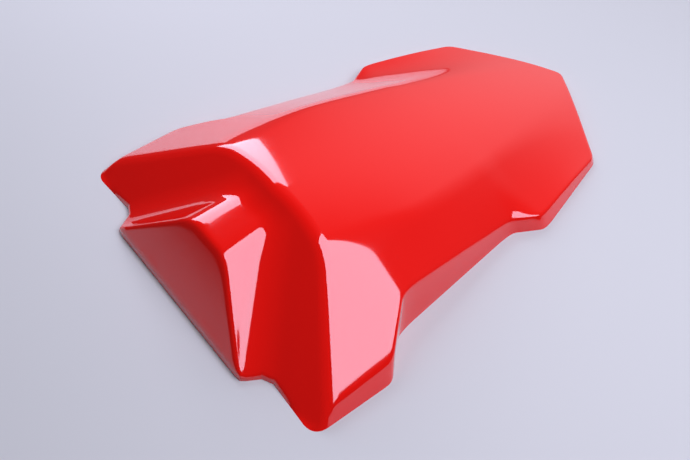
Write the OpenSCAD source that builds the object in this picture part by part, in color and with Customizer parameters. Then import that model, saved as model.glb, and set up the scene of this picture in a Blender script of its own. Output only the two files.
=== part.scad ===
// Moulded seat cowl for a motorbike's pillion seat, one thin shell with an open underside.
// X runs from the nose to the tail, Y to the right-hand side, Z up from the plane of the lower rim.
// Lengths are measured from a datum at the foot of the wing tips, and widths from the middle plane.
// The finished part is moved along X so that the origin lies under the middle of its length.

/* [Shell] */
// Wall thickness of the moulding
wall = 3; // [2:0.1:4]
// Length of the rounding between the top and the skirt
edge_round = 1.6; // [0.8:0.1:2.4]
// Least height of the hollow's edge above the rim's plane
rim_land = 0.8; // [0.4:0.1:1.2]

/* [Deck] */
// Where the deck's front ridge lies on the middle line
ridge_x = 60; // [56:0.5:64]
// Height of the deck at its ridge
ridge_h = 52; // [48:0.5:56]
// Where the tail's point lies
tail_x = 304.6; // [290:0.5:320]
// Height of the upper edge at the tail's point
tail_h = 4.6; // [3:0.1:8]
// Rise of the deck's middle line over a straight line from ridge to tail
deck_bow = 1.8; // [0.5:0.1:5]
// Drop from the middle to the character line at the shoulder
crown_front = 6.9; // [4:0.1:9]
// Drop from the middle to the character line at the tail
crown_rear = 1.4; // [0.5:0.1:3]

/* [Character line] */
// Half distance between the two lines above the wing tips
line_wing_w = 44; // [40:0.5:47]
// Height of the flank's upper border above the wing tips
line_wing_h = 46.6; // [44:0.1:48]
// Half distance at the shoulder corners
shoulder_w = 46.5; // [44:0.5:49]
// Half distance where the side walls start
line_side_w = 49.5; // [46:0.5:53]
// Widest place of the line, back from the datum
belly_x = 115.1; // [105:0.1:125]
// Half distance at the widest place
line_belly_w = 51.5; // [48:0.5:55]
// Half distance at the waist, ahead of the tabs
line_waist_w = 44.5; // [40:0.5:49]
// Half distance at the tabs
line_tab_w = 41; // [37:0.5:45]
// Half distance at the tail's side corners
line_corner_w = 32; // [28:0.5:36]
// Half distance at the tail's point
line_tip_w = 27; // [23:0.5:31]

/* [Upper edge of the skirt] */
// Shoulder corner, back from the datum
shoulder_x = 49; // [46:0.5:52]
// Wing tip, back from the datum
wing_x = 8.9; // [7:0.1:12]
// Wing tip, half width
wing_w = 106.2; // [100:0.2:112]
// Wing tip, height
wing_h = 8.8; // [7:0.1:12]
// Rear corner of the wing, back from the datum
wing_rear_x = 52.1; // [48:0.1:58]
// Rear corner of the wing, half width
wing_rear_w = 105.4; // [98:0.2:112]
// Rear corner of the wing, height
wing_rear_h = 10.9; // [9:0.1:13]
// Front end of the side wall, back from the datum
side_x = 78.2; // [72:0.1:84]
// Front end of the side wall, half width
side_w = 82.2; // [78:0.1:86]
// Front end of the side wall, height
side_h = 24.3; // [21:0.1:27]
// Waist ahead of the tab, back from the datum
waist_x = 172; // [165:0.5:176]
// Waist ahead of the tab, half width
waist_w = 75.4; // [72:0.1:78]
// Waist ahead of the tab, height
waist_h = 10; // [8:0.1:12]
// Tab corner, back from the datum
tab_x = 191.4; // [187:0.1:196]
// Tab corner, half width
tab_w = 84.4; // [81:0.1:88]
// Tab corner, height
tab_h = 8.6; // [7:0.1:11]
// Side corner of the tail, back from the datum
corner_x = 259.7; // [250:0.1:268]
// Side corner of the tail, half width
corner_w = 69; // [64:0.1:74]
// Side corner of the tail, height
corner_h = 4.2; // [3:0.1:6]
// Fall of the flank above the tab, in degrees
tab_fall = 28; // [22:0.5:30]
// Fall of the flank above the tail's side corner, in degrees
corner_fall = 14; // [11:0.5:18]
// Fall of the flank at the tail's point, in degrees
tip_fall = 8.5; // [4:0.5:12]

/* [Foot of the skirt] */
// How far the foot stands outside the nose's lower edge
nose_rim_out = 0.6; // [0.3:0.1:1.2]
// Front of the wing's foot, ahead of the datum
wing_front_ahead = 4.7; // [3:0.1:6]
// Length of the wing's foot that its front corner's rounding takes
wing_front_round = 9.2; // [6:0.1:12]
// How far the upper edge stands behind the foot at the wing's front corner
wing_front_behind = 3.5; // [2.5:0.1:4]
// How far the upper edge stands inside the foot at the wing's front corner
wing_front_inside = 2.8; // [2:0.1:3.6]
// How far the wing's foot stands ahead of its upper tip
wing_foot_ahead = 3.4; // [2:0.1:5]
// How far the wing's foot stands outside its upper tip
wing_foot_out = 5; // [3:0.1:6]
// How far the foot stands ahead of the wing's rear corner
wing_rear_foot_ahead = 4.6; // [3:0.1:6]
// How far the foot stands outside the wing's rear corner
wing_rear_foot_out = 6.4; // [4:0.1:8]
// How far the foot stands ahead of the side wall's front end
side_foot_ahead = 8.4; // [6:0.1:10]
// How far the foot stands outside the side wall's front end
side_foot_out = 8.8; // [6:0.1:11]
// How far the foot stands outside the waist
waist_foot_out = 3.5; // [2:0.1:5]
// How far the foot stands behind the tab's corner
tab_foot_behind = 1; // [0:0.1:2]
// How far the foot stands outside the tab
tab_foot_out = 5.3; // [3:0.1:7]
// How far the foot stands outside the tail's edge
tail_foot_out = 2; // [1:0.1:3]

/* [Fascia] */
// Slope of the fascia towards the ridge, in degrees
fascia_lean = 38.2; // [36:0.1:40]
// Fall of the fascia towards the wing tips, in degrees
fascia_fall = 5.6; // [4:0.1:7]
// Height of the fascia's plane at the datum on the middle line
fascia_base = 12.7; // [11.5:0.1:14]
// Foot of the fascia beside the nose, half width
valley_w = 74.2; // [71:0.1:77]
// How far the fascia's foot stands ahead of the datum beside the nose
valley_ahead = 2.7; // [1.5:0.1:4]

// Foot of the cheek ahead of that place, half width
cheek_rear_w = 67.8; // [66:0.1:70]
// How far that foot stands ahead of the datum
cheek_rear_ahead = 6; // [5:0.1:8]

/* [Nose] */
// Upper front edge of the nose, back from the datum
nose_x = 7.6; // [5:0.1:10]
// Upper front edge of the nose, half width
nose_w = 16; // [13:0.2:19]
// Upper front edge of the nose, height
nose_h = 40.8; // [38:0.1:43]
// Lower front edge of the nose, ahead of the datum
nose_foot_ahead = 16.2; // [13:0.1:19]
// Lower front edge of the nose, half width
nose_foot_w = 60.3; // [57:0.1:63]
// Lower corner of the nose, half width
nose_corner_w = 61.7; // [61:0.1:62.5]
// How far that corner stands behind the nose's lower edge
nose_corner_behind = 0.5; // [0.2:0.1:0.8]
// Length of the nose's lower edge that its corner takes
nose_corner_round = 3.3; // [2.5:0.1:4]
// Lower front end of the cheek, half width
cheek_foot_w = 63.6; // [63:0.1:65]
// How far the cheek's front end stands behind the nose's lower edge
cheek_foot_behind = 2.8; // [1.5:0.1:4]
// Lower front edge of the nose, height
nose_foot_h = 5.3; // [4:0.1:7]
// Rise of the nose's top towards the ridge, in degrees
nose_top_rise = 5.7; // [3:0.1:8]
// Rise of the nose's cheeks towards the ridge, in degrees
nose_side_rise = 3.3; // [1:0.1:6]

/* [Blends] */
// Depth of the rounding along the ridge and shoulders
ridge_blend = 4; // [3:0.1:6]
// Depth of the hollow rounding behind the nose's top
valley_top_blend = 5; // [3:0.1:7]
// Depth of the hollow rounding behind the nose's cheeks
valley_side_blend = 12; // [8:0.5:14]
// Share of the nose's half width where the hollow starts to widen
valley_widen = 0.7; // [0.5:0.05:1]
// Depth of the rounding on the nose's front edge
nose_front_blend = 3.6; // [2:0.1:5]
// Depth of the rounding between the nose's top and cheeks
nose_crown_blend = 6; // [4:0.1:8]
// Depth of the rounding of the character line at the shoulder
line_blend_front = 3; // [1:0.1:5]
// Depth of the rounding of the character line at the tail
line_blend_rear = 1.5; // [0.5:0.1:3]
// Sharpness of the flare towards the tabs
flare_power = 2.5; // [1.5:0.1:4]
// Share of a side that each corner's rounding takes, seen from above
corner_share = 0.14; // [0.05:0.01:0.25]

/* [Underside] */
// Thickness of the stiffening ribs
rib_t = 2; // [1.5:0.1:3]
// Depth of the ribs below the roof
rib_depth = 9; // [5:0.5:14]
// Number of cross ribs, the first through the front bosses and the last through the rear ones
cross_ribs = 4; // [2:1:6]
// Half length of the cross ribs
cross_rib_w = 42; // [36:1:46]
// Outer radius of the screw bosses
boss_r = 5.5; // [4.5:0.1:7]
// Radius of the screw holes
bore_r = 2.1; // [1.5:0.1:2.6]
// Depth of the screw holes
bore_depth = 14; // [8:0.5:16]
// Front pair of bosses, back from the datum
front_boss_x = 68; // [62:1:74]
// Half distance between the front bosses
front_boss_w = 30; // [22:1:40]
// Height of the front bosses' lower faces
front_boss_foot = 14; // [8:0.5:20]
// Rear pair of bosses, back from the datum
rear_boss_x = 188; // [176:1:196]
// Half distance between the rear bosses
rear_boss_w = 30; // [22:1:34]
// Height of the rear bosses' lower faces
rear_boss_foot = 4; // [2:0.5:6]

/* [Hidden] */
$fn = 48;

function mix(a, b, t) = a + (b - a) * t;
function ramp(t) = let (c = max(0, min(1, t))) c * c * (3 - 2 * c);

// Deck: the middle line is a bowed fall from ridge to tail, and the crown drops off to both sides
deck_len = tail_x - ridge_x;
deck_slope = (ridge_h - tail_h) / deck_len;
function deck_share(x) = (x - ridge_x) / deck_len;
function deck_mid(x) = let (t = deck_share(x)) ridge_h + (tail_h - ridge_h) * t + 4 * deck_bow * t * (1 - t);
function crown(x) = crown_front + (crown_rear - crown_front) * (x - shoulder_x) / (tail_x - shoulder_x);

// Stations along the length that the character line and the flanks pass through
station_x = [wing_x, shoulder_x, side_x, belly_x, waist_x, tab_x, corner_x, tail_x];
line_w = [line_wing_w, shoulder_w, line_side_w, line_belly_w, line_waist_w, line_tab_w, line_corner_w, line_tip_w];
line_h = [for (i = [0:7]) i == 0 ? line_wing_h : deck_mid(station_x[i]) - crown(station_x[i])];
function on_side_wall(x, a, b) = a + (b - a) * (x - side_x) / (waist_x - side_x);
edge_w = [
    wing_w, wing_rear_w, side_w, on_side_wall(belly_x, side_w, waist_w), waist_w, tab_w, corner_w, corner_w
];
edge_h = [wing_h, wing_rear_h, side_h, on_side_wall(belly_x, side_h, waist_h), waist_h, tab_h, corner_h];
rear_fall = [tan(tab_fall), tan(corner_fall), tan(tip_fall)];
flank_fall = [for (i = [0:7]) i > 4 ? rear_fall[i - 5] : (line_h[i] - edge_h[i]) / (edge_w[i] - line_w[i])];
// The tab flares: its edge lies above the flank's straight run by this lift
edge_lift = [
    for (i = [0:7])
        i == 5 || i == 6 ? edge_h[i] - line_h[i] + flank_fall[i] * (edge_w[i] - line_w[i]) : 0
];

// A smooth curve through the stations, straight beyond its ends
function station_slope(v, i) =
    let (a = max(i - 1, 0), b = min(i + 1, len(v) - 1)) (v[b] - v[a]) / (station_x[b] - station_x[a]);
function station_at(x, i = 0) = i >= len(station_x) - 2 || x < station_x[i + 1] ? i : station_at(x, i + 1);
function through(v, x) =
    let (
        i = station_at(x),
        gap = station_x[i + 1] - station_x[i],
        s = (x - station_x[i]) / gap,
        t = max(0, min(1, s)),
        m0 = station_slope(v, i) * gap,
        m1 = station_slope(v, i + 1) * gap
    )
    (2 * t ^ 3 - 3 * t ^ 2 + 1) * v[i] + (t ^ 3 - 2 * t ^ 2 + t) * m0
        + (3 * t ^ 2 - 2 * t ^ 3) * v[i + 1] + (t ^ 3 - t ^ 2) * m1
        + min(s, 0) * m0 + max(s - 1, 0) * m1;

// Two surfaces meet in a rounding of depth k: blend_low keeps the lower one, blend_high the higher
function blend_low(a, b, k) = let (h = max(k - abs(a - b), 0) / k) min(a, b) - h * h * k / 4;
function blend_high(a, b, k) = -blend_low(-a, -b, k);

// Height of each face over the plan, with w the distance from the middle plane
fascia_slope = tan(fascia_lean);
fascia_side = tan(fascia_fall);
top_rise = tan(nose_top_rise);
cheek_rise = tan(nose_side_rise);
nose_run = nose_x + nose_foot_ahead;
nose_slope = (nose_h - nose_foot_h) / nose_run;
cheek_fall = (nose_h - nose_foot_h - cheek_rise * nose_run) / (nose_foot_w - nose_w);
function deck_face(x, w) =
    let (u = w / through(line_w, x)) deck_mid(x) - crown(x) * (u < 1 ? u * u : 2 * u - 1);
function flank_face(x, w) =
    let (
        out = w - through(line_w, x),
        share = max(0, out / (through(edge_w, x) - through(line_w, x)))
    )
    through(line_h, x) - through(flank_fall, x) * out + through(edge_lift, x) * share ^ flare_power;
function fascia_face(x, w) = fascia_base + fascia_slope * x - fascia_side * w;
function nose_top_face(x) = nose_h + top_rise * (x - nose_x);
function nose_cheek_face(x, w) = nose_h + cheek_rise * (x - nose_x) - cheek_fall * (w - nose_w);
function nose_front_face(x) = nose_h + nose_slope * (x - nose_x);

// A wall's offset is taken square to each face, so drop turns it into a change of height
function drop(depth, slope) = depth * sqrt(1 + slope * slope);
function line_blend(x) =
    mix(line_blend_front, line_blend_rear, ramp((x - shoulder_x) / (corner_x - shoulder_x)));

function valley_blend(w) = mix(valley_top_blend, valley_side_blend, ramp(w / nose_w - valley_widen));

// Height of the whole form at a plan place, for the outer skin (depth 0) or the inner one (depth wall)
function form_height(x, w, depth) =
    let (
        deck = deck_face(x, w) - drop(depth, deck_slope),
        flank = flank_face(x, w) - drop(depth, through(flank_fall, x)),
        fascia = fascia_face(x, w) - drop(depth, fascia_slope),
        nose_top = nose_top_face(x) - drop(depth, top_rise),
        cheek = nose_cheek_face(x, w) - drop(depth, cheek_fall),
        nose_front = nose_front_face(x) - drop(depth, nose_slope),
        nose = blend_low(blend_low(nose_top, cheek, nose_crown_blend), nose_front, nose_front_blend),
        front = blend_high(fascia, nose, valley_blend(w))
    )
    blend_low(blend_low(deck, flank, line_blend(x)), front, ridge_blend);

// Rings of the plan grid run from the middle plane over the character line to the skirt's edge.
// Each stands at a feature: nose front, cheeks, valley, fascia, wing's front corner, ridge, sides, tail.
valley_x = (nose_h - top_rise * nose_x - fascia_base) / (fascia_slope - top_rise);
function valley_at(w) = valley_x + fascia_side * w / (fascia_slope - top_rise);
function crown_line(x) = nose_w - (top_rise - cheek_rise) * (x - nose_x) / cheek_fall;
ridge_at_middle = (ridge_h + deck_slope * ridge_x - fascia_base) / (fascia_slope + deck_slope);
crease_x = (deck_mid(shoulder_x) - crown(shoulder_x) - fascia_base + fascia_side * shoulder_w) / fascia_slope;
nose_mid = mix(nose_x, valley_x, 0.5);
wing_foot_w = wing_w + wing_foot_out;
tail_line_x = tail_x - line_tip_w * (tail_x - corner_x) / corner_w;
// Rows between the valley and the ridge stand at these shares of the way
hollow_share = 0.5;
front_share = 0.75;
tip_share = 0.9;
// Two more rows stand this far behind the ridge, and at these shares of the way from shoulder to side wall
behind_ridge = [6, 13];
behind_share = [0.2, 0.4];
function to_ridge(share) = mix(valley_x, ridge_at_middle, share);
function to_crease(share) = mix(valley_at(crown_line(valley_x)), crease_x, share);
function along_crease(share) = mix(crown_line(valley_x), shoulder_w, share);
rings = [
    // middle x, line x, line w, edge x, edge w
    [-nose_foot_ahead, -nose_foot_ahead, nose_w, -nose_foot_ahead, nose_corner_w - nose_corner_round],
    [nose_x, nose_x, nose_w, nose_corner_behind - nose_foot_ahead, nose_corner_w],
    [nose_mid, nose_mid, crown_line(nose_mid), cheek_foot_behind - nose_foot_ahead, cheek_foot_w],
    [valley_x, valley_at(crown_line(valley_x)), crown_line(valley_x), -cheek_rear_ahead, cheek_rear_w],
    [to_ridge(hollow_share), to_crease(hollow_share), along_crease(hollow_share), -valley_ahead, valley_w],
    [to_ridge(front_share), to_crease(front_share), along_crease(front_share),
        -valley_ahead, wing_foot_w - wing_front_round],
    [to_ridge(tip_share), to_crease(tip_share), along_crease(tip_share),
        wing_front_behind - wing_front_ahead, wing_foot_w - wing_front_inside],
    [ridge_at_middle, crease_x, shoulder_w, wing_x, wing_w],
    [ridge_at_middle + behind_ridge[0], crease_x + behind_ridge[0],
        mix(shoulder_w, line_side_w, behind_share[0]),
        mix(wing_x, wing_rear_x, behind_share[0]), mix(wing_w, wing_rear_w, behind_share[0])],
    [ridge_at_middle + behind_ridge[1], crease_x + behind_ridge[1],
        mix(shoulder_w, line_side_w, behind_share[1]), wing_rear_x, wing_rear_w],
    [side_x, side_x, line_side_w, side_x, side_w],
    [waist_x, waist_x, line_waist_w, waist_x, waist_w],
    [tab_x, tab_x, line_tab_w, tab_x, tab_w],
    [tail_x, tail_line_x, line_tip_w, corner_x, corner_w]
];
last_ring = len(rings) - 1;
first_front_ring = 5;
first_side_ring = 7;
// Steps between each ring and the next, and the share of its two sides that each corner's rounding takes
ring_steps = [5, 4, 4, 4, 3, 3, 3, 3, 4, 5, 6, 5, 8];
ring_rounding = [0, 0, 0, 0, 0, 0, 1, 0, 0, corner_share, corner_share, corner_share, corner_share, 0];
middle_steps = 6;
flank_steps = 7;
// Columns stand closer together beside the character line
gather = 1.5;

// Each corner of an outline moves along its mitre when the outline is offset inwards by 1 mm
function unit(v) = v / norm(v);
function side_normal(a, b) = let (d = unit(b - a)) [d[1], -d[0]];
function mitre(n, m) = (n + m) / (1 + n * m);
tail_normal = side_normal([corner_x, corner_w], [tail_x, 0]);
function moves(path) = [
    for (i = [0:last_ring])
        mitre(
            i == 0 ? [1, 0] : side_normal(path[i - 1], path[i]),
            i == last_ring ? tail_normal : side_normal(path[i], path[i + 1])
        )
];
edge_path = [for (r = rings) [r[3], r[4]]];
edge_moves = moves(edge_path);
wing_foot = [wing_x - wing_foot_ahead, wing_foot_w];
side_feet = [
    wing_foot,
    mix(wing_foot, [wing_rear_x, wing_rear_w + wing_rear_foot_out], behind_share[0]),
    [wing_rear_x - wing_rear_foot_ahead, wing_rear_w + wing_rear_foot_out],
    [side_x - side_foot_ahead, side_w + side_foot_out],
    [waist_x, waist_w + waist_foot_out],
    [tab_x + tab_foot_behind, tab_w + tab_foot_out],
    [corner_x, corner_w] - tail_foot_out * edge_moves[last_ring]
];
wing_front_feet = [[-wing_front_ahead, wing_foot_w - wing_front_round], [-wing_front_ahead, wing_foot_w]];
foot_path = [
    for (i = [0:last_ring])
        i >= first_side_ring ? side_feet[i - first_side_ring]
        : i >= first_front_ring ? wing_front_feet[i - first_front_ring]
        : edge_path[i] - nose_rim_out * edge_moves[i]
];
foot_moves = moves(foot_path);
full_rings = [for (i = [0:last_ring]) concat(rings[i], edge_moves[i], foot_path[i], foot_moves[i])];

// Corners of the outline are rounded by a curve that leaves and joins the two sides smoothly
function ring_raw(u) = let (i = min(floor(u), last_ring - 1)) mix(full_rings[i], full_rings[i + 1], u - i);
function corner_near(u) =
    let (i = floor(u), t = u - i)
    t < ring_rounding[i] ? i : i < last_ring && 1 - t < ring_rounding[i + 1] ? i + 1 : -1;
function ring_at(u) =
    let (i = corner_near(u))
    i < 0 ? ring_raw(u)
    : let (share = ring_rounding[i], t = (u - i + share) / (2 * share))
      quad_curve(ring_raw(i - share), full_rings[i], ring_raw(i + share), t);
function quad_curve(a, b, c, t) = mix(mix(a, b, t), mix(b, c, t), t);
function small_rounding(i) = ring_rounding[i] < 1 ? ring_rounding[i] : 0;
ring_list = [
    for (i = [0:last_ring - 1])
        for (s = [0:ring_steps[i] - 1])
            let (from = small_rounding(i), to = 1 - small_rounding(i + 1), t = ramp(s / ring_steps[i]))
            each concat(
                s == 0 && from > 0 ? [i, i + from / 2] : [],
                [i + mix(from, to, t)],
                s == ring_steps[i] - 1 && to < 1 ? [i + to, i + (1 + to) / 2] : []
            ),
    last_ring
];

// A ring moved in from the edge by inset, towards the middle at the nose and the tail
function inset_ring(u, inset) =
    let (
        r = ring_at(u),
        front = max(0, 1 - u) * inset,
        rear = max(0, u - last_ring + 1) * inset
    )
    [
        [r[0] + front + rear / tail_normal[0], 0],
        [r[1] + front + rear * tail_normal[0], r[2] + rear * tail_normal[1]],
        [r[3] + r[5] * inset, r[4] + r[6] * inset]
    ];
function plan_row(u, inset) =
    let (k = inset_ring(u, inset))
    [
        for (j = [0:middle_steps]) mix(k[1], k[0], (1 - j / middle_steps) ^ gather),
        for (j = [1:flank_steps]) mix(k[1], k[2], (j / flank_steps) ^ gather)
    ];
row_len = middle_steps + flank_steps;
row_count = len(ring_list);

// Half of the foot line: along the nose, down the side and back along the tail to the middle
function inset_foot(u, inset) = let (r = ring_at(u)) [r[7] + r[9] * inset, r[8] + r[10] * inset];
tail_foot = [tail_x - tail_foot_out / tail_normal[0], 0];
nose_foot = foot_path[0];
function half_foot(inset) = [
    for (j = [0:row_len - 1]) mix([nose_foot[0] + inset, 0], inset_foot(0, inset), j / row_len),
    for (i = [0:row_count - 1]) inset_foot(ring_list[i], inset),
    for (j = [1:row_len])
        mix(inset_foot(last_ring, inset), tail_foot + [inset / tail_normal[0], 0], j / row_len)
];
function half_border(inset) =
    let (first = plan_row(0, inset), last = plan_row(last_ring, inset))
    [
        for (j = [0:row_len - 1]) first[j],
        for (i = [0:row_count - 1]) plan_row(ring_list[i], inset)[row_len],
        for (j = [1:row_len]) last[row_len - j]
    ];
half_len = 2 * row_len + row_count;
// The border closes on itself by running back along the mirrored half
function whole_loop(half) = [
    each half,
    for (k = [half_len - 2:-1:1]) [half[k][0], -half[k][1]]
];
loop_len = 2 * half_len - 2;

// Top surface: the grid over both halves, from the left edge over the middle to the right edge
function top_points(inset, depth) = [
    for (u = ring_list)
        let (row = plan_row(u, inset))
        for (j = [-row_len:row_len])
            let (p = row[abs(j)])
            [p[0], sign(j) * p[1], max(rim_land, form_height(p[0], p[1], depth))]
];
full_len = 2 * row_len + 1;
function grid_index(i, j) = i * full_len + row_len + j;
top_faces = [
    for (i = [0:row_count - 2])
        for (j = [-row_len:row_len - 1])
            each [
                [grid_index(i, j), grid_index(i, j + 1), grid_index(i + 1, j + 1)],
                [grid_index(i, j), grid_index(i + 1, j + 1), grid_index(i + 1, j)]
            ]
];
half_border_index = [
    for (j = [0:row_len - 1]) grid_index(0, j),
    for (i = [0:row_count - 1]) grid_index(i, row_len),
    for (j = [1:row_len]) grid_index(row_count - 1, row_len - j)
];
function mirror_index(k) = let (i = floor(k / full_len), j = k - i * full_len - row_len) grid_index(i, -j);
border_index = [
    each half_border_index,
    for (k = [half_len - 2:-1:1]) mirror_index(half_border_index[k])
];

// The moulding: both skins over their grids, the rounding and the sloping skirt, and the rim at the bottom
function lift(plan, depth) = [for (p = plan) [p[0], p[1], max(rim_land, form_height(p[0], abs(p[1]), depth))]];
function on_floor(plan) = [for (p = plan) [p[0], p[1], 0]];

// The hollow's edge, and then the inner skin, stand a little further in than the wall's thickness
hollow_edge_in = 0.2;
inner_skin_in = 1;
// The rounding takes at most this share of the skirt, and has points at these shares of its own length
most_skirt = 0.45;
rounding_points = [0.35, 0.7];

module moulding() {
    outer_top = top_points(edge_round, 0);
    inner_top = top_points(wall + inner_skin_in, wall);
    outer_edge = lift(whole_loop(half_border(0)), 0);
    inner_edge = lift(whole_loop(half_border(wall + hollow_edge_in)), wall);
    outer_foot = on_floor(whole_loop(half_foot(0)));
    inner_foot = on_floor(whole_loop(half_foot(wall)));
    skirt_start = [
        for (k = [0:loop_len - 1])
            mix(outer_edge[k], outer_foot[k], min(most_skirt, edge_round / norm(outer_foot[k] - outer_edge[k])))
    ];
    function rounding(t) = [
        for (k = [0:loop_len - 1]) quad_curve(outer_top[border_index[k]], outer_edge[k], skirt_start[k], t)
    ];
    bands = [for (t = rounding_points) rounding(t), skirt_start, outer_foot, inner_foot, inner_edge];
    last_band = len(bands);
    skin_len = len(outer_top);
    points = [each outer_top, each inner_top, for (band = bands) each band];
    // Band 0 is the outer skin's border, and the band after the last is the inner skin's
    function band_index(b, k) =
        let (m = k % loop_len)
        b == 0 ? border_index[m]
        : b > last_band ? skin_len + border_index[m]
        : 2 * skin_len + (b - 1) * loop_len + m;
    band_faces = [
        for (b = [0:last_band])
            for (k = [0:loop_len - 1])
                each [
                    [band_index(b, k), band_index(b + 1, k + 1), band_index(b, k + 1)],
                    [band_index(b, k), band_index(b + 1, k), band_index(b + 1, k + 1)]
                ]
    ];
    inner_faces = [for (f = top_faces) [for (v = [2:-1:0]) skin_len + f[v]]];
    polyhedron(points, concat(top_faces, inner_faces, band_faces), convexity = 6);
}

// A rib hangs from the roof along a straight line in plan, and its top follows the middle of the wall
module rib(from, to, steps) {
    across = rib_t / 2 * unit([from[1] - to[1], to[0] - from[0]]);
    places = [for (i = [0:steps]) mix(from, to, i / steps)];
    function corner(p, side, z) = [p[0] + side * across[0], p[1] + side * across[1], z];
    points = [
        for (p = places)
            let (roof = form_height(p[0], abs(p[1]), wall / 2), low = roof - wall / 2 - rib_depth)
            each [corner(p, -1, low), corner(p, 1, low), corner(p, 1, roof), corner(p, -1, roof)]
    ];
    sides = [
        for (i = [0:steps - 1])
            for (c = [0:3])
                let (d = (c + 1) % 4)
                each [
                    [4 * i + c, 4 * i + 4 + c, 4 * i + d],
                    [4 * i + d, 4 * i + 4 + c, 4 * i + 4 + d]
                ]
    ];
    ends = [[0, 1, 2], [0, 2, 3], [4 * steps, 4 * steps + 2, 4 * steps + 1], [4 * steps, 4 * steps + 3, 4 * steps + 2]];
    polyhedron(points, concat(sides, ends), convexity = 4);
}

rib_steps = 8;

module ribs() {
    for (i = [0:cross_ribs - 1]) {
        x = mix(front_boss_x, rear_boss_x, i / (cross_ribs - 1));
        rib([x, -cross_rib_w], [x, cross_rib_w], rib_steps);
    }
}

// The bosses' tops end inside the roof's wall
module at_bosses() {
    for (side = [-1, 1]) {
        translate([front_boss_x, side * front_boss_w, front_boss_foot])
            children(0);
        translate([rear_boss_x, side * rear_boss_w, rear_boss_foot])
            children(1);
    }
}
front_boss_h = form_height(front_boss_x, front_boss_w, wall / 2) - front_boss_foot;
rear_boss_h = form_height(rear_boss_x, rear_boss_w, wall / 2) - rear_boss_foot;

middle_x = (nose_foot[0] + tail_foot[0]) / 2;

module cowl_shell() {
    color("#d8160f") translate([-middle_x, 0, 0])
        difference() {
            union() {
                moulding();
                ribs();
                at_bosses() {
                    cylinder(r = boss_r, h = front_boss_h);
                    cylinder(r = boss_r, h = rear_boss_h);
                }
            }
            at_bosses() {
                cylinder(r = bore_r, h = bore_depth);
                cylinder(r = bore_r, h = bore_depth);
            }
        }
}

cowl_shell();
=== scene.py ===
from math import cos, hypot, pi, radians, sin, sqrt, tan

import bmesh
import bpy
from mathutils import Matrix, Vector


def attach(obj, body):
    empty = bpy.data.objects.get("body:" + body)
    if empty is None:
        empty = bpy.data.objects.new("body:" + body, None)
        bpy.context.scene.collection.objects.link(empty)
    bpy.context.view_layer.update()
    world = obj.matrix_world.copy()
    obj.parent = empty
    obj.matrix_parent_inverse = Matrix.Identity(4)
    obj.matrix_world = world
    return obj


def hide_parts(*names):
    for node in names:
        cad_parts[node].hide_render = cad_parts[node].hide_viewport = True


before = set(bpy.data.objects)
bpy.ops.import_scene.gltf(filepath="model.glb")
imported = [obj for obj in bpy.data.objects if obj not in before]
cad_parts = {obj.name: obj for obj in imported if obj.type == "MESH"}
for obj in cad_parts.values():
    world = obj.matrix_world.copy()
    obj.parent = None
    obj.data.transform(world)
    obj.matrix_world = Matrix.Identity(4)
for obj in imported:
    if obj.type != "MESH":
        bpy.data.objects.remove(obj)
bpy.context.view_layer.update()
mm = 0.001

# the form, in millimetres from the datum and degrees
form = {
    "wall": 3.0, "rimLand": 0.8, "edgeRound": 1.6,
    "ridgeX": 60.0, "ridgeH": 52.0, "tailX": 304.6, "tailH": 4.6, "deckBow": 1.8,
    "crownFront": 6.9, "crownRear": 1.4,
    "shoulderX": 49.0, "cornerX": 259.7,
    "wingRise": 46.6,
    "fasciaLean": 38.2, "fasciaFall": 5.6, "fasciaBase": 12.7,
    "noseX": 7.6, "noseW": 16.0, "noseH": 40.8,
    "noseFootAhead": 16.2, "noseFootW": 60.3, "noseFootH": 5.3, "noseTopRise": 5.7, "noseSideRise": 3.3,
    "ridgeBlend": 4.35, "noseFrontBlend": 2.8, "noseCrownBlend": 6.0,
    "valleyTopBlend": 5.0, "valleySideBlend": 12.0, "valleyWiden": 0.7,
    "lineBlendFront": 3.0, "lineBlendRear": 1.5, "flarePower": 2.5,
    "tabFall": 28.0, "cornerFall": 14.0, "tipFall": 8.5,
}
f = form

# stations along the length: x, half width of the character line, half width and height of the skirt's edge
stations = {
    "x": [8.9, f["shoulderX"], 78.2, 115.1, 172.0, 191.4, f["cornerX"], f["tailX"]],
    "lineW": [44.0, 46.5, 49.5, 51.5, 44.5, 41.0, 32.0, 27.0],
    "edgeW": [106.2, 105.4, 82.2, 79.524, 75.4, 84.4, 69.0, 69.0],
    "edgeH": [8.8, 10.9, 24.3, 18.675, 10.0, 8.6, 4.2, 4.2],
}
st = stations
wingAt, shoulderAt, waistFrontAt, waistRearAt, tabAt, cornerAt, tailAt = 0, 1, 2, 4, 5, 6, 7
shoulderLineW, tailLineW, cornerW = st["lineW"][shoulderAt], st["lineW"][tailAt], st["edgeW"][cornerAt]


def deckMid(x):
    t = (x - f["ridgeX"]) / (f["tailX"] - f["ridgeX"])
    return f["ridgeH"] + (f["tailH"] - f["ridgeH"]) * t + 4 * f["deckBow"] * t * (1 - t)


def crown(x):
    t = (x - f["shoulderX"]) / (f["tailX"] - f["shoulderX"])
    return f["crownFront"] + (f["crownRear"] - f["crownFront"]) * t


st["lineH"] = [f["wingRise"]] + [deckMid(x) - crown(x) for x in st["x"][1:]]
st["fall"] = [(h - e) / (b - a) for h, e, a, b in zip(st["lineH"], st["edgeH"], st["lineW"], st["edgeW"])]
st["fall"][tabAt:] = [tan(radians(f[name])) for name in ("tabFall", "cornerFall", "tipFall")]
st["lift"] = [0.0] * len(st["x"])
for i in (tabAt, cornerAt):  # the flank flares out to the tab and to the tail's corner
    st["lift"][i] = st["edgeH"][i] - st["lineH"][i] + st["fall"][i] * (st["edgeW"][i] - st["lineW"][i])


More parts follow.
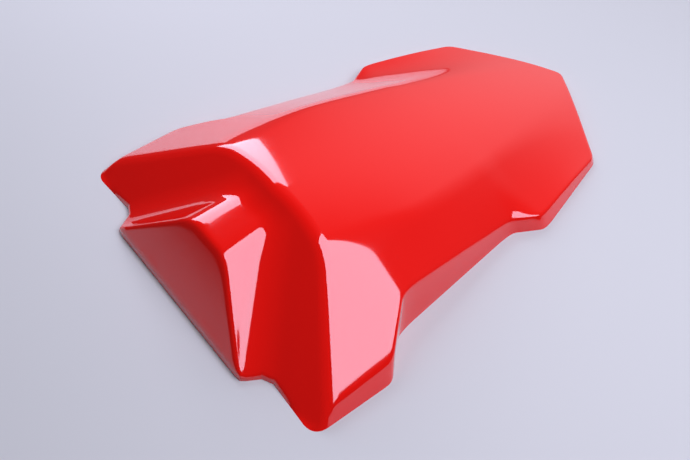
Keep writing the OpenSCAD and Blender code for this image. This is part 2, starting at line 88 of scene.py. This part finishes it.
def through(name, x):
    # a smooth curve through the stations' values, straight beyond the two ends
    values, xs = st[name], st["x"]
    i = 0
    while i < len(xs) - 2 and x >= xs[i + 1]:
        i += 1

    def slope(k):
        a, b = max(k - 1, 0), min(k + 1, len(xs) - 1)
        return (values[b] - values[a]) / (xs[b] - xs[a])

    gap = xs[i + 1] - xs[i]
    s = (x - xs[i]) / gap
    t = max(0.0, min(1.0, s))
    m0, m1 = slope(i) * gap, slope(i + 1) * gap
    curve = (2 * t**3 - 3 * t**2 + 1) * values[i] + (t**3 - 2 * t**2 + t) * m0
    curve += (3 * t**2 - 2 * t**3) * values[i + 1] + (t**3 - t**2) * m1
    return curve + min(s, 0.0) * m0 + max(s - 1, 0.0) * m1


def blendLow(a, b, width):
    # the lower of two heights, rounded where they meet
    h = max(width - abs(a - b), 0.0) / width
    return min(a, b) - h * h * width / 4


def blendHigh(a, b, width):
    return -blendLow(-a, -b, width)


def ramp(t):
    c = max(0.0, min(1.0, t))
    return c * c * (3 - 2 * c)


def drop(depth, slope):
    # how far a sloping face sinks where the skin is that much deeper
    return depth * sqrt(1 + slope * slope)


fasciaSlope, fasciaSide = tan(radians(f["fasciaLean"])), tan(radians(f["fasciaFall"]))
noseRun = f["noseX"] + f["noseFootAhead"]
noseSlope = (f["noseH"] - f["noseFootH"]) / noseRun
topSlope, cheekRise = tan(radians(f["noseTopRise"])), tan(radians(f["noseSideRise"]))
cheekFall = (f["noseH"] - f["noseFootH"] - cheekRise * noseRun) / (f["noseFootW"] - f["noseW"])
deckSlope = (f["ridgeH"] - f["tailH"]) / (f["tailX"] - f["ridgeX"])


def noseHeight(x, w, depth):
    back = x - f["noseX"]
    top = f["noseH"] + topSlope * back - drop(depth, topSlope)
    cheek = f["noseH"] + cheekRise * back - cheekFall * (w - f["noseW"]) - drop(depth, cheekFall)
    front = f["noseH"] + noseSlope * back - drop(depth, noseSlope)
    return blendLow(blendLow(top, cheek, f["noseCrownBlend"]), front, f["noseFrontBlend"])


def formHeight(x, w, depth):
    lineW = through("lineW", x)
    fall = through("fall", x)
    u = w / lineW
    deck = deckMid(x) - crown(x) * (u * u if u < 1 else 2 * u - 1) - drop(depth, deckSlope)
    share = max(0.0, (w - lineW) / (through("edgeW", x) - lineW))
    flank = through("lineH", x) - fall * (w - lineW) + through("lift", x) * share ** f["flarePower"]
    flank -= drop(depth, fall)
    fascia = f["fasciaBase"] + fasciaSlope * x - fasciaSide * w - drop(depth, fasciaSlope)
    widening = ramp(w / f["noseW"] - f["valleyWiden"])
    valleyBlend = f["valleyTopBlend"] + (f["valleySideBlend"] - f["valleyTopBlend"]) * widening
    front = blendHigh(fascia, noseHeight(x, w, depth), valleyBlend)
    turn = ramp((x - f["shoulderX"]) / (f["cornerX"] - f["shoulderX"]))
    lineBlend = f["lineBlendFront"] + (f["lineBlendRear"] - f["lineBlendFront"]) * turn
    return blendLow(blendLow(deck, flank, lineBlend), front, f["ridgeBlend"])


# where the faces meet, seen from above
valleyX = (f["noseH"] - topSlope * f["noseX"] - f["fasciaBase"]) / (fasciaSlope - topSlope)
ridgeMiddle = (f["ridgeH"] + deckSlope * f["ridgeX"] - f["fasciaBase"]) / (fasciaSlope + deckSlope)
creaseX = (deckMid(f["shoulderX"]) - crown(f["shoulderX"]) - f["fasciaBase"]
           + fasciaSide * shoulderLineW) / fasciaSlope
tailLineX = f["tailX"] - tailLineW * (f["tailX"] - f["cornerX"]) / cornerW
noseMid = (f["noseX"] + valleyX) / 2


def crownLine(x):
    return f["noseW"] - (topSlope - cheekRise) * (x - f["noseX"]) / cheekFall


valleyW = crownLine(valleyX)
valleySideX = valleyX + fasciaSide * valleyW / (fasciaSlope - topSlope)


def beforeRidge(share, edgeX, edgeW):
    starts, ends = (valleyX, valleySideX, valleyW), (ridgeMiddle, creaseX, shoulderLineW)
    return (*(a + (b - a) * share for a, b in zip(starts, ends)), edgeX, edgeW)


def behindRidge(back, lineW, edgeX, edgeW):
    return ridgeMiddle + back, creaseX + back, lineW, edgeX, edgeW


def atStation(i):
    x = st["x"][i]
    return x, x, st["lineW"][i], x, st["edgeW"][i]


# plan of the part, ring by ring
# each ring runs from the middle line over the character line to the skirt's edge
# and has a corner on the foot of the skirt
plan = {
    # middle x, line x, line w, edge x, edge w
    "rings": [
        (-f["noseFootAhead"], -f["noseFootAhead"], f["noseW"], -f["noseFootAhead"], 58.4),
        (f["noseX"], f["noseX"], f["noseW"], -15.7, 61.7),
        (noseMid, noseMid, crownLine(noseMid), -13.4, 63.6),
        (valleyX, valleySideX, valleyW, -6.0, 67.8),
        beforeRidge(0.5, -2.7, 74.2),
        beforeRidge(0.75, -2.7, 102.0),
        beforeRidge(0.9, -1.2, 108.4),
        behindRidge(0.0, shoulderLineW, st["x"][wingAt], st["edgeW"][wingAt]),
        behindRidge(6.0, 47.1, 17.54, 106.04),
        behindRidge(13.0, 47.7, 52.1, 105.4),
        atStation(waistFrontAt),
        atStation(waistRearAt),
        atStation(tabAt),
        (f["tailX"], tailLineX, tailLineW, f["cornerX"], cornerW),
    ],
    "noseFeet": 5,  # so many rings have their foot set out from the edge, and the wing's feet follow
    "feet": [(-4.7, 102.0), (-4.7, 111.2), (5.5, 111.2), (14.82, 111.32), (47.5, 111.8), (69.8, 91.0),
             (172.0, 78.9), (192.4, 89.7)],
    "steps": [18, 10, 14, 10, 10, 6, 8, 10, 12, 14, 26, 12, 24],
    "rounding": (0, 0, 0, 0, 0, 0, 1, 0, 0, 0.14, 0.14, 0.14, 0.14, 0),  # share of the sides at each ring
    "middleSteps": 24, "flankSteps": 34,
    "crowding": 1.5,  # columns stand closer by the character line with a higher power
    "noseRimOut": 0.6, "tailFootOut": 2.0,
}
rings = plan["rings"]
lastRing = len(rings) - 1
stops = [i + ramp(s / n) for i, n in enumerate(plan["steps"]) for s in range(n)] + [float(lastRing)]
rowSteps, sideSteps = len(stops) - 1, plan["middleSteps"] + plan["flankSteps"]


def mix(a, b, t):
    return [p + (q - p) * t for p, q in zip(a, b)]


def ringRaw(u):
    i = min(int(u), lastRing - 1)
    return mix(rings[i], rings[i + 1], u - i)


def ringAt(u):
    # the ring at a place between two others, with the plan's corners rounded
    for i, share in enumerate(plan["rounding"]):
        if abs(u - i) < share:
            t = (u - i + share) / (2 * share)
            before, after = ringRaw(i - share), ringRaw(i + share)
            return mix(mix(before, rings[i], t), mix(rings[i], after, t), t)
    return ringRaw(u)


def sideNormal(a, b):
    # unit normal of the side from a to b that points into the part
    length = hypot(b[0] - a[0], b[1] - a[1])
    return (b[1] - a[1]) / length, (a[0] - b[0]) / length


def insetPath(path, ends):
    # how far each corner of the outline moves for 1 mm of inset
    normals = [ends[0], *(sideNormal(a, b) for a, b in zip(path, path[1:])), ends[1]]
    moves = []
    for (ax, ay), (bx, by) in zip(normals, normals[1:]):
        spread = 1 + ax * bx + ay * by
        moves.append(((ax + bx) / spread, (ay + by) / spread))
    return moves


edges = [(edgeX, edgeW) for *_, edgeX, edgeW in rings]
tailNormal = sideNormal(edges[-1], (f["tailX"], 0.0))
endNormals = ((1.0, 0.0), tailNormal)
edgeMoves = insetPath(edges, endNormals)


def outside(i, gap):
    return edges[i][0] - gap * edgeMoves[i][0], edges[i][1] - gap * edgeMoves[i][1]


noseFeet = [outside(i, plan["noseRimOut"]) for i in range(plan["noseFeet"])]
feet = noseFeet + plan["feet"] + [outside(lastRing, plan["tailFootOut"])]
footMoves = insetPath(feet, endNormals)
rings = [(*r, *e, *g, *h) for r, e, g, h in zip(rings, edgeMoves, feet, footMoves)]
noseFootX = feet[0][0]
tailFootX = f["tailX"] - plan["tailFootOut"] / tailNormal[0]
middleX = (noseFootX + tailFootX) / 2

# the tail's corners are drawn in a little, as the photo has them
softCorners = {
    "side": {"inward": (-0.571, -0.821), "reach": 5.0, "depth": 1.0},
    "tip": {"inward": (-1.0, 0.0), "reach": 4.5, "depth": 1.0},
}


def softened(spot, corner, soft):
    away = hypot(spot[0] - corner[0], spot[1] - corner[1])
    pull = soft["depth"] * max(0.0, 1 - away / soft["reach"]) ** 2
    return spot[0] + soft["inward"][0] * pull, spot[1] + soft["inward"][1] * pull


def softTail(spot, sideCorner, tipX):
    spot = softened(spot, sideCorner, softCorners["side"])
    return softened(spot, (tipX, 0.0), softCorners["tip"])


def edgeSpot(ring, inset):
    edgeX, edgeW, moveX, moveW = ring[3:7]
    return edgeX + moveX * inset, edgeW + moveW * inset


def rimSpot(ring, inset):
    footX, footW, moveX, moveW = ring[7:11]
    return footX + moveX * inset, footW + moveW * inset


def planSpot(u, j, inset):
    ring = ringAt(u)
    middleLineX, lineX, lineW = ring[:3]
    front, rear = max(0.0, 1 - u) * inset, max(0.0, u - lastRing + 1) * inset
    middle = (middleLineX + front + rear / tailNormal[0], 0.0)
    line = (lineX + front + rear * tailNormal[0], lineW + rear * tailNormal[1])
    k, m = abs(j), plan["middleSteps"]
    if k <= m:
        spot = mix(middle, line, 1 - (1 - k / m) ** plan["crowding"])
    else:
        spot = mix(line, edgeSpot(ring, inset), ((k - m) / plan["flankSteps"]) ** plan["crowding"])
    return softTail(spot, edgeSpot(rings[-1], inset), f["tailX"] + inset / tailNormal[0])


def footSpot(u, j, inset):
    spot = rimSpot(ringAt(u), inset)
    tipX = tailFootX + inset / tailNormal[0]
    if abs(j) != sideSteps:
        middleFoot = (noseFootX + inset, 0.0) if u < 1 else (tipX, 0.0)
        share = planSpot(u, j, 0.0)[1] / planSpot(u, sideSteps, 0.0)[1]
        spot = mix(middleFoot, spot, share)
    return softTail(spot, rimSpot(rings[-1], inset), tipX)


def skinPoint(u, j, inset, depth):
    x, w = planSpot(u, j, inset)
    return Vector((x, w, max(f["rimLand"], formHeight(x, w, depth))))


def placed(p, j):
    return Vector(((p.x - middleX) * mm, (p.y if j >= 0 else -p.y) * mm, p.z * mm))


# the moulding
moulding = {
    "roundingSteps": 5, "roundingShare": 0.45,  # at most this share of the skirt is rounded
    "skirtStops": (0.33, 0.67, 1.0),
    "innerInset": 1.0, "edgeInset": 0.2,
    "weld": 1e-7, "onFloor": 1e-6, "sharpAngle": 0.6,
}


def borderPoints(u, j):
    # points down the border, from the top skin over the skirt and under the rim to the inner skin
    wall = f["wall"]
    top = skinPoint(u, j, f["edgeRound"], 0.0)
    edge = skinPoint(u, j, 0.0, 0.0)
    innerEdge = skinPoint(u, j, wall + moulding["edgeInset"], wall)
    foot = Vector((*footSpot(u, j, 0.0), 0.0))
    innerFoot = Vector((*footSpot(u, j, wall), 0.0))
    skirtStart = edge.lerp(foot, min(moulding["roundingShare"], f["edgeRound"] / (foot - edge).length))
    n = moulding["roundingSteps"]
    curve = [top.lerp(edge, t).lerp(edge.lerp(skirtStart, t), t) for t in (s / n for s in range(1, n + 1))]
    skirt = [skirtStart.lerp(foot, t) for t in moulding["skirtStops"]]
    return [*curve, *skirt, innerFoot, innerEdge, skinPoint(u, j, wall + moulding["innerInset"], wall)]


def addSkin(bm, inset, depth):
    # a plan grid is raised to the form's height, and its cells are remembered by row and column
    grid = bmesh.ops.create_grid(bm, x_segments=rowSteps, y_segments=2 * sideSteps, size=1)
    cells = {}
    for v in grid["verts"]:
        i = round((v.co.x + 1) / 2 * rowSteps)
        j = round(v.co.y * sideSteps)
        v.co = placed(skinPoint(stops[i], j, inset, depth), j)
        cells[v] = (i, j)
    return cells


def extendBorder(bm, loop, downward, level):
    # one more row of faces hangs from the border, and the new border keeps its rows and columns
    border = [e for e in bm.edges if e.is_boundary and e.verts[0] in loop and e.verts[1] in loop]
    made = bmesh.ops.extrude_edge_only(bm, edges=border)
    fresh = {}
    for v in (g for g in made["geom"] if isinstance(g, bmesh.types.BMVert)):
        old = next(e.other_vert(v) for e in v.link_edges if e.other_vert(v) in loop)
        fresh[v] = loop[old]
        v.co = placed(downward[loop[old]][level], loop[old][1])
    return fresh


def buildCowl():
    bm = bmesh.new()
    cells = addSkin(bm, f["edgeRound"], 0.0)
    loop = {v: cells[v] for v in cells if v.is_boundary}
    downward = {key: borderPoints(stops[key[0]], key[1]) for key in loop.values()}
    levels = len(next(iter(downward.values())))
    for level in range(levels):
        loop = extendBorder(bm, loop, downward, level)
    outerFaces = len(bm.faces)
    inner = addSkin(bm, f["wall"] + moulding["innerInset"], f["wall"])
    innerFaces = {face for v in inner for face in v.link_faces}
    bmesh.ops.reverse_faces(bm, faces=list(innerFaces))
    seam = list(loop) + [v for v in inner if v.is_boundary]
    bmesh.ops.remove_doubles(bm, verts=seam, dist=moulding["weld"])
    bmesh.ops.recalc_face_normals(bm, faces=bm.faces)
    for face in bm.faces:
        face.smooth = True
        face.material_index = 1 if face in innerFaces else 0
    for e in bm.edges:  # the rim that stands on the floor has crisp edges
        low = all(v.co.z < moulding["onFloor"] for v in e.verts)
        if low and e.calc_face_angle(0.0) > moulding["sharpAngle"]:
            e.smooth = False
    print("cowl:", len(bm.faces), "faces,", outerFaces, "of them outside")
    return bm


# ribs and bosses under the roof
underside = {
    "ribT": 2.0, "ribDepth": 9.0, "ribX": (68.0, 108.0, 148.0, 188.0), "ribW": 42.0, "ribSteps": 21,
    "bossR": 5.5, "boreR": 2.1, "boreDepth": 14.0, "mouthChamfer": 0.4,
    "bosses": ((68.0, 30.0, 14.0), (188.0, 30.0, 4.0)),  # back from the datum, half width, foot height
    "turnSteps": 40, "weld": 1e-6, "sharpAngle": 0.5,
}


def buildRibs():
    bm = bmesh.new()
    n, width = underside["ribSteps"], underside["ribW"]
    for x in underside["ribX"]:
        strip = bmesh.ops.create_grid(bm, x_segments=1, y_segments=2 * n, size=1)
        for v in strip["verts"]:
            w = abs(v.co.y) * width
            side = 1 if v.co.y >= 0 else -1
            roof = formHeight(x, w, f["wall"] / 2)
            z = roof if v.co.x > 0 else roof - f["wall"] / 2 - underside["ribDepth"]
            v.co = placed(Vector((x - underside["ribT"] / 2, w, z)), side)
    faces = bm.faces[:]
    bmesh.ops.recalc_face_normals(bm, faces=faces)
    sheet = bmesh.ops.extrude_face_region(bm, geom=faces, use_keep_orig=True)
    movedVerts = [g for g in sheet["geom"] if isinstance(g, bmesh.types.BMVert)]
    bmesh.ops.translate(bm, verts=movedVerts, vec=(underside["ribT"] * mm, 0, 0))
    bmesh.ops.recalc_face_normals(bm, faces=bm.faces)
    return bm


def buildBosses():
    bm = bmesh.new()
    r, bore, c = underside["bossR"], underside["boreR"], underside["mouthChamfer"]
    for x, w, foot in underside["bosses"]:
        roof = formHeight(x, w, f["wall"] / 2)
        boreEnd = foot + underside["boreDepth"]
        profile = [
            (0.0, boreEnd), (bore, boreEnd), (bore, foot + c), (bore + c, foot),
            (r - c, foot), (r, foot + c), (r, roof), (0.0, roof),
        ]
        for side in (-1, 1):
            centre = placed(Vector((x, w, 0.0)), side)
            verts = [bm.verts.new(centre + Vector((a * mm, 0, z * mm))) for a, z in profile]
            lines = [bm.edges.new(pair) for pair in zip(verts, verts[1:])]
            bmesh.ops.spin(bm, geom=verts + lines, cent=centre, axis=(0, 0, 1), angle=2 * pi,
                           steps=underside["turnSteps"], use_merge=True)
    bmesh.ops.remove_doubles(bm, verts=bm.verts, dist=underside["weld"])
    bmesh.ops.recalc_face_normals(bm, faces=bm.faces)
    for face in bm.faces:
        face.smooth = True
    for e in bm.edges:
        e.smooth = e.calc_face_angle(0.0) < underside["sharpAngle"]
    return bm


# materials
class Wire:
    # a node socket that takes part in ordinary arithmetic
    def __init__(self, look, socket):
        self.look, self.socket = look, socket

    def math(self, operation, *values):
        return self.look.node("ShaderNodeMath", {"operation": operation}, sockets=dict(enumerate(values)))

    def __add__(self, other): return self.math("ADD", self, other)
    def __radd__(self, other): return self.math("ADD", other, self)
    def __sub__(self, other): return self.math("SUBTRACT", self, other)
    def __rsub__(self, other): return self.math("SUBTRACT", other, self)
    def __mul__(self, other): return self.math("MULTIPLY", self, other)
    def __rmul__(self, other): return self.math("MULTIPLY", other, self)
    def __lt__(self, other): return self.math("LESS_THAN", self, other)


class Finish:
    # the node tree of one material or world
    def __init__(self, owner):
        owner.use_nodes = True
        self.tree = owner.node_tree
        self.tree.nodes.clear()

    def plug(self, slot, value):
        if isinstance(value, Wire):
            self.tree.links.new(value.socket, slot)
        else:
            slot.default_value = value

    def node(self, kind, settings=None, output=0, sockets=None, **inputs):
        # sockets are given by number where a node has several of one name
        node = self.tree.nodes.new(kind)
        for name, value in (settings or {}).items():
            setattr(node, name, value)
        for number, value in (sockets or {}).items():
            self.plug(node.inputs[number], value)
        for name, value in inputs.items():
            self.plug(node.inputs[name.replace("_", " ")], value)
        return Wire(self, node.outputs[output]) if len(node.outputs) else None

    def mixColour(self, share, first, second):
        return self.node("ShaderNodeMix", {"data_type": "RGBA"}, output=2,
                         sockets={0: share, 6: first, 7: second})


def makePaint():
    paint = {
        "red": (0.92, 0.006, 0.003, 1), "deeper": (0.88, 0.005, 0.0025, 1), "cloudScale": 9.0,
        "roughness": 0.05, "roughnessSpread": 0.03,
        "peelScale": 240.0, "peelHeight": 0.000004, "peelRoughness": 0.4,
        "nibScale": 45.0, "nibSize": 0.022, "nibRise": 3.0,
        "coatRoughness": 0.015, "coatIor": 1.5,
    }
    material = bpy.data.materials.new("glossRedPaint")
    look = Finish(material)
    place = look.node("ShaderNodeTexCoord", output="Object")
    cloud = look.node("ShaderNodeTexNoise", Vector=place, Scale=paint["cloudScale"], Detail=2.0)
    peel = look.node("ShaderNodeTexNoise", Vector=place, Scale=paint["peelScale"], Detail=2.0,
                     Roughness=paint["peelRoughness"])
    speck = look.node("ShaderNodeTexVoronoi", Vector=place, Scale=paint["nibScale"])
    nib = speck < paint["nibSize"]
    relief = look.node("ShaderNodeBump", Height=peel + nib * paint["nibRise"], Strength=1.0,
                       Distance=paint["peelHeight"])
    shader = look.node("ShaderNodeBsdfPrincipled",
                       Base_Color=look.mixColour(cloud, paint["red"], paint["deeper"]),
                       Roughness=paint["roughness"] + cloud * paint["roughnessSpread"], Normal=relief,
                       Coat_Weight=1.0, Coat_Roughness=paint["coatRoughness"], Coat_IOR=paint["coatIor"])
    look.node("ShaderNodeOutputMaterial", Surface=shader)
    return material


def makeBareSide():
    bare = {
        "red": (0.30, 0.012, 0.010, 1), "worn": (0.22, 0.010, 0.009, 1), "cloudScale": 30.0,
        "roughness": 0.42, "roughnessSpread": 0.18,
        "grainScale": 1400.0, "grainHeight": 0.00004, "grainStrength": 0.6,
    }
    material = bpy.data.materials.new("bareMouldedPlastic")
    look = Finish(material)
    place = look.node("ShaderNodeTexCoord", output="Object")
    cloud = look.node("ShaderNodeTexNoise", Vector=place, Scale=bare["cloudScale"], Detail=4.0)
    grain = look.node("ShaderNodeTexNoise", Vector=place, Scale=bare["grainScale"], Detail=2.0)
    relief = look.node("ShaderNodeBump", Height=grain, Strength=bare["grainStrength"],
                       Distance=bare["grainHeight"])
    shader = look.node("ShaderNodeBsdfPrincipled",
                       Base_Color=look.mixColour(cloud, bare["red"], bare["worn"]),
                       Roughness=bare["roughness"] + cloud * bare["roughnessSpread"], Normal=relief)
    look.node("ShaderNodeOutputMaterial", Surface=shader)
    return material


def finishPiece(name, bm, materials):
    mesh = bpy.data.meshes.new(name)
    bm.to_mesh(mesh)
    bm.free()
    for material in materials:
        mesh.materials.append(material)
    piece = bpy.data.objects.new(name, mesh)
    bpy.context.scene.collection.objects.link(piece)
    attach(piece, "root")
    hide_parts("cowl_shell")


paintRed, bareSide = makePaint(), makeBareSide()
print("materials made")
finishPiece("cowlMoulding", buildCowl(), [paintRed, bareSide])
finishPiece("roofRibs", buildRibs(), [bareSide])
finishPiece("screwBosses", buildBosses(), [bareSide])
print("pieces made")


# studio: lamps in millimetres from the datum, the floor in metres
studio = {
    "floorSize": 8.0, "floorColour": (0.60, 0.59, 0.55, 1), "floorRoughness": 0.7,
    "lampTint": (0.93, 0.95, 1.22),
    "nearLamp": {"centre": (294, -319, 781), "facing": (0.03, 0.43, -0.90), "across": (-1.0, -0.07, -0.06),
                 "half": (357, 384), "radiance": 4.4},
    "farLamp": {"centre": (328, 724, 491), "facing": (-0.43, -0.643, -0.634),
                "across": (0.89, -0.185, -0.416), "half": (260, 332), "radiance": 4.4},
    "roomColour": (0.94, 0.98, 1.05, 1), "roomDim": 0.03,
    "wallGlow": (17.0, 13.0),  # azimuth and height of a bright wall, in degrees
    "glowCore": 0.66, "glowCoreReach": (0.72, 1.0), "glowSkirt": 0.08, "glowSkirtReach": (0.2, 0.75),
}


def turned(right, up, back):
    return Matrix((right, up, back)).transposed().to_4x4()


def addLamp(name, spec):
    lamp = bpy.data.lights.new(name, "AREA")
    lamp.shape = "RECTANGLE"
    lamp.size, lamp.size_y = (2 * h * mm for h in spec["half"])
    lamp.energy = spec["radiance"] * pi * lamp.size * lamp.size_y
    lamp.color = studio["lampTint"]
    back = -Vector(spec["facing"]).normalized()
    across = Vector(spec["across"])
    across = (across - back * across.dot(back)).normalized()
    x, y, z = spec["centre"]
    place = Matrix.Translation(((x - middleX) * mm, y * mm, z * mm))
    holder = bpy.data.objects.new(name, lamp)
    holder.matrix_world = place @ turned(across, back.cross(across), back)
    bpy.context.scene.collection.objects.link(holder)


def makeFloor():
    bm = bmesh.new()
    bmesh.ops.create_grid(bm, x_segments=4, y_segments=4, size=studio["floorSize"] / 2)
    mesh = bpy.data.meshes.new("floor")
    bm.to_mesh(mesh)
    bm.free()
    material = bpy.data.materials.new("paleFloor")
    look = Finish(material)
    shader = look.node("ShaderNodeBsdfPrincipled", Base_Color=studio["floorColour"],
                       Roughness=studio["floorRoughness"])
    look.node("ShaderNodeOutputMaterial", Surface=shader)
    mesh.materials.append(material)
    floor = bpy.data.objects.new("floor", mesh)
    bpy.context.scene.collection.objects.link(floor)


def makeWorld():
    # a dim room with one bright wall, whose glow fades in two stages
    world = bpy.data.worlds.new("studio")
    bpy.context.scene.world = world
    look = Finish(world)
    azimuth, height = (radians(a) for a in studio["wallGlow"])
    axis = (cos(height) * cos(azimuth), cos(height) * sin(azimuth), sin(height))
    direction = look.node("ShaderNodeTexCoord", output="Generated")
    toward = look.node("ShaderNodeVectorMath", {"operation": "DOT_PRODUCT"}, output="Value",
                       sockets={0: direction, 1: axis})
    coreFrom, coreTo = studio["glowCoreReach"]
    skirtFrom, skirtTo = studio["glowSkirtReach"]
    core = look.node("ShaderNodeMapRange", Value=toward, From_Min=coreFrom, From_Max=coreTo)
    skirt = look.node("ShaderNodeMapRange", Value=toward, From_Min=skirtFrom, From_Max=skirtTo)
    level = core * core * studio["glowCore"] + skirt * studio["glowSkirt"] + studio["roomDim"]
    background = look.node("ShaderNodeBackground", Color=studio["roomColour"], Strength=level)
    look.node("ShaderNodeOutputWorld", Surface=background)


# camera of the photo: its lens in pixels of a picture 690 wide, and its place in metres
view = {
    "focalPixels": 850, "pictureWidth": 690, "sensor": 36, "clipStart": 0.01,
    "place": (-0.126404, -0.249261, 0.402017),  # x from the datum
    "right": (0.77505342, -0.62930904, 0.05711674),
    "up": (0.46690791, 0.63124867, 0.61929163),
    "forward": (0.42578069, 0.45331584, -0.78308081),
}


def addCamera():
    camera = bpy.data.cameras.new("camera")
    camera.lens = view["focalPixels"] / view["pictureWidth"] * view["sensor"]
    camera.sensor_width = view["sensor"]
    camera.clip_start = view["clipStart"]
    x, y, z = view["place"]
    right, up, forward = (Vector(view[name]) for name in ("right", "up", "forward"))
    holder = bpy.data.objects.new("camera", camera)
    holder.matrix_world = Matrix.Translation((x - middleX * mm, y, z)) @ turned(right, up, -forward)
    bpy.context.scene.collection.objects.link(holder)
    bpy.context.scene.camera = holder


addLamp("nearLamp", studio["nearLamp"])
addLamp("farLamp", studio["farLamp"])
makeFloor()
makeWorld()
addCamera()
bpy.context.scene.view_settings.view_transform = "Standard"
print("studio made")
